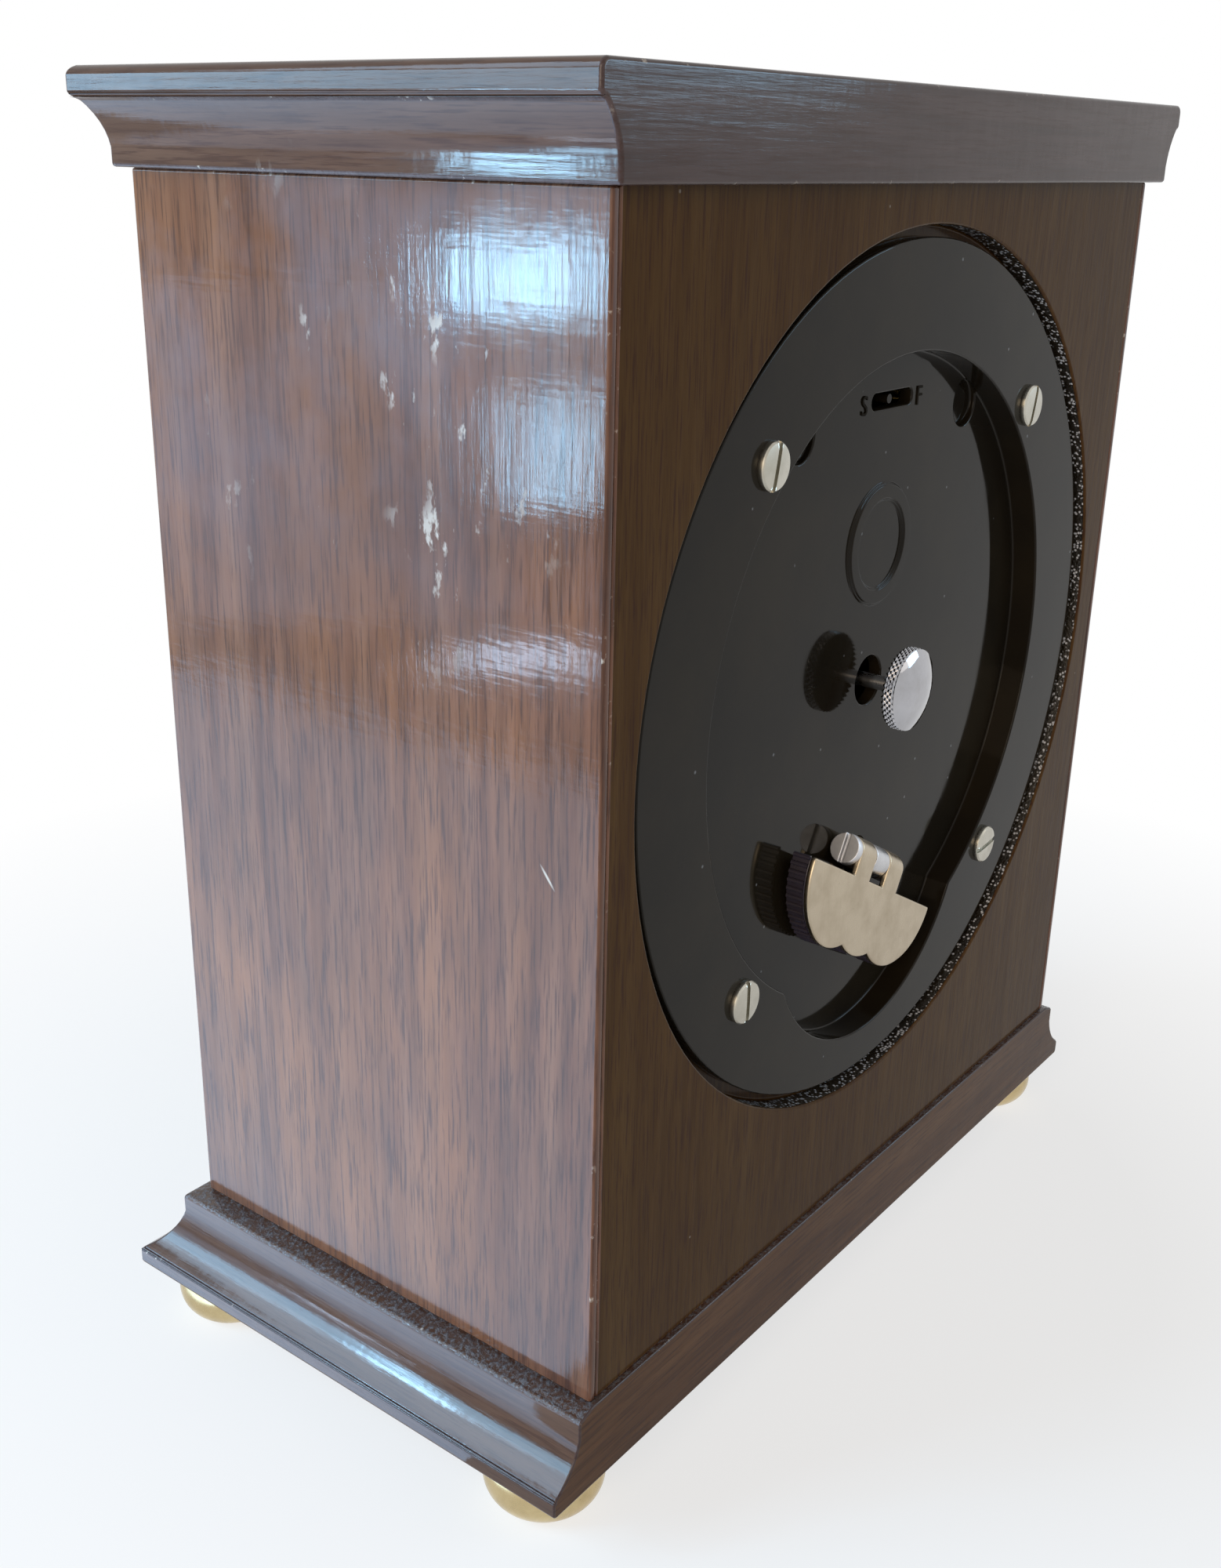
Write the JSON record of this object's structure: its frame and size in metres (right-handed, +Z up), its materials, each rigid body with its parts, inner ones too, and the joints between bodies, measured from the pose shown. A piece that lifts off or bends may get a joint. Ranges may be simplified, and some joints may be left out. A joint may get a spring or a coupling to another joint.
{
  "type": "mantel clock",
  "caption": "Rectangular wooden mantel clock with moulded cornice and base, bun feet, round back cover, setting knob and folding winding key.",
  "frame": {"origin": "on the floor, under the centre of the bounding box", "axes": "+Z up, X across the clock, +Y towards the back, where the key and the knob are"},
  "size_m": [0.146, 0.0816, 0.1705],
  "materials": {
    "mahogany": "glossy lacquer",
    "foot_brass": "dull",
    "black_moulding": "glossy",
    "nickel": "nickel plate",
    "chrome": "polished",
    "key_brass": "worn polish",
    "black_grip": "ribbed",
    "silvered_dial": "matt",
    "blued_hands": "satin",
    "bezel_brass": "polished",
    "clear_glass": "clear",
    "plate_brass": "satin",
    "wheel_brass": "satin",
    "steel": "satin"
  },
  "bodies": {
    "case": {"case_front": "mahogany", "case_back": "mahogany", "case_side_left": "mahogany", "case_side_right": "mahogany", "cornice_board": "mahogany", "base_board": "mahogany", "foot_front_left": "foot_brass", "foot_front_right": "foot_brass", "foot_back_left": "foot_brass", "foot_back_right": "foot_brass", "foot_screws": "steel", "back_cover": "black_moulding", "cover_screws": "nickel", "rear_posts": "plate_brass", "plate_pillars": "plate_brass", "front_pillars": "plate_brass", "front_plate": "plate_brass", "back_plate": "plate_brass", "mounting_plate": "plate_brass", "dial": "silvered_dial", "bezel": "bezel_brass", "glass": "clear_glass", "click_screw": "steel", "click_spring": "steel", "pallet_cock": "plate_brass", "minute_post": "steel", "hairspring": "steel"},
    "hands_setting": {"set_arbor": "steel", "set_knob": "chrome", "cannon_pinion": "wheel_brass", "minute_hand": "blued_hands", "hand_nut": "wheel_brass"},
    "minute_work": {"minute_wheel": "wheel_brass"},
    "hour_work": {"hour_wheel": "wheel_brass", "hour_hand": "blued_hands"},
    "going_barrel": {"barrel": "wheel_brass", "barrel_cover": "wheel_brass", "mainspring": "steel"},
    "intermediate": {"intermediate_arbor": "steel", "intermediate_wheel": "wheel_brass"},
    "centre": {"centre_pinion": "steel", "centre_wheel": "wheel_brass"},
    "third": {"third_arbor": "steel", "third_wheel": "wheel_brass"},
    "fourth": {"fourth_arbor": "steel", "fourth_wheel": "wheel_brass"},
    "escape": {"escape_arbor": "steel", "escape_wheel": "wheel_brass"},
    "lever": {"pallet_lever": "steel"},
    "balance": {"balance_wheel": "wheel_brass", "balance_staff": "steel"},
    "regulator": {"regulator_index": "plate_brass"},
    "winding": {"winding_arbor": "steel", "ratchet_wheel": "steel"},
    "key": {"key_wing": "key_brass", "key_grip": "black_grip", "key_pivot_screw": "steel"},
    "click": {"click": "steel"}
  },
  "joints": [
    {"name": "hands_turn", "type": "hinge", "parent": "case", "child": "hands_setting", "pos_m": [0, 0, 0.0957], "axis": [0, 1, 0], "continuous": true},
    {"name": "minute_turn", "type": "hinge", "parent": "case", "child": "minute_work", "pos_m": [0.01128, 0, 0.0916], "axis": [0, 1, 0], "continuous": true},
    {"name": "hour_turn", "type": "hinge", "parent": "case", "child": "hour_work", "pos_m": [0, 0, 0.0957], "axis": [0, 1, 0], "continuous": true},
    {"name": "third_turn", "type": "hinge", "parent": "case", "child": "third", "pos_m": [0.01617, 0, 0.09671], "axis": [0, 1, 0], "continuous": true},
    {"name": "centre_turn", "type": "hinge", "parent": "case", "child": "centre", "pos_m": [0, 0, 0.0957], "axis": [0, 1, 0], "continuous": true},
    {"name": "intermediate_turn", "type": "hinge", "parent": "case", "child": "intermediate", "pos_m": [-0.01657, 0, 0.08868], "axis": [0, 1, 0], "continuous": true},
    {"name": "barrel_turn", "type": "hinge", "parent": "case", "child": "going_barrel", "pos_m": [0, 0, 0.0697], "axis": [0, 1, 0], "continuous": true},
    {"name": "fourth_turn", "type": "hinge", "parent": "case", "child": "fourth", "pos_m": [0.01582, 0, 0.11031], "axis": [0, 1, 0], "continuous": true},
    {"name": "escape_turn", "type": "hinge", "parent": "case", "child": "escape", "pos_m": [0.01152, 0, 0.12215], "axis": [0, 1, 0], "continuous": true},
    {"name": "lever_rock", "type": "hinge", "parent": "case", "child": "lever", "pos_m": [0.00541, 0, 0.11992], "axis": [0, 1, 0], "range_deg": [-3, 3]},
    {"name": "balance_swing", "type": "hinge", "parent": "case", "child": "balance", "pos_m": [-0.0007, 0, 0.1177], "axis": [0, 1, 0], "range_deg": [-120, 120], "stiffness_Nm_per_rad": 0.00001},
    {"name": "regulator_swing", "type": "hinge", "parent": "case", "child": "regulator", "pos_m": [-0.0007, 0, 0.1177], "axis": [0, 1, 0], "range_deg": [-11, 11]},
    {"name": "winding_turn", "type": "hinge", "parent": "case", "child": "winding", "pos_m": [0, 0, 0.0697], "axis": [0, 1, 0], "continuous": true},
    {"name": "key_fold", "type": "hinge", "parent": "winding", "child": "key", "pos_m": [0, 0.03515, 0.0697], "axis": [0.8712, 0, 0.4909], "range_deg": [0, 90]},
    {"name": "click_lift", "type": "hinge", "parent": "case", "child": "click", "pos_m": [-0.01073, 0, 0.0787], "axis": [0, 1, 0], "range_deg": [0, 8], "stiffness_Nm_per_rad": 0.002}
  ],
  "couplings": [
    {"joint": "centre_turn", "follows": "third_turn", "ratio": -0.125},
    {"joint": "fourth_turn", "follows": "third_turn", "ratio": -7.5},
    {"joint": "intermediate_turn", "follows": "third_turn", "ratio": 0.025},
    {"joint": "barrel_turn", "follows": "third_turn", "ratio": -0.0041667},
    {"joint": "escape_turn", "follows": "third_turn", "ratio": 60},
    {"joint": "minute_turn", "follows": "hands_turn", "ratio": -0.33333},
    {"joint": "hour_turn", "follows": "hands_turn", "ratio": 0.083333}
  ]
}
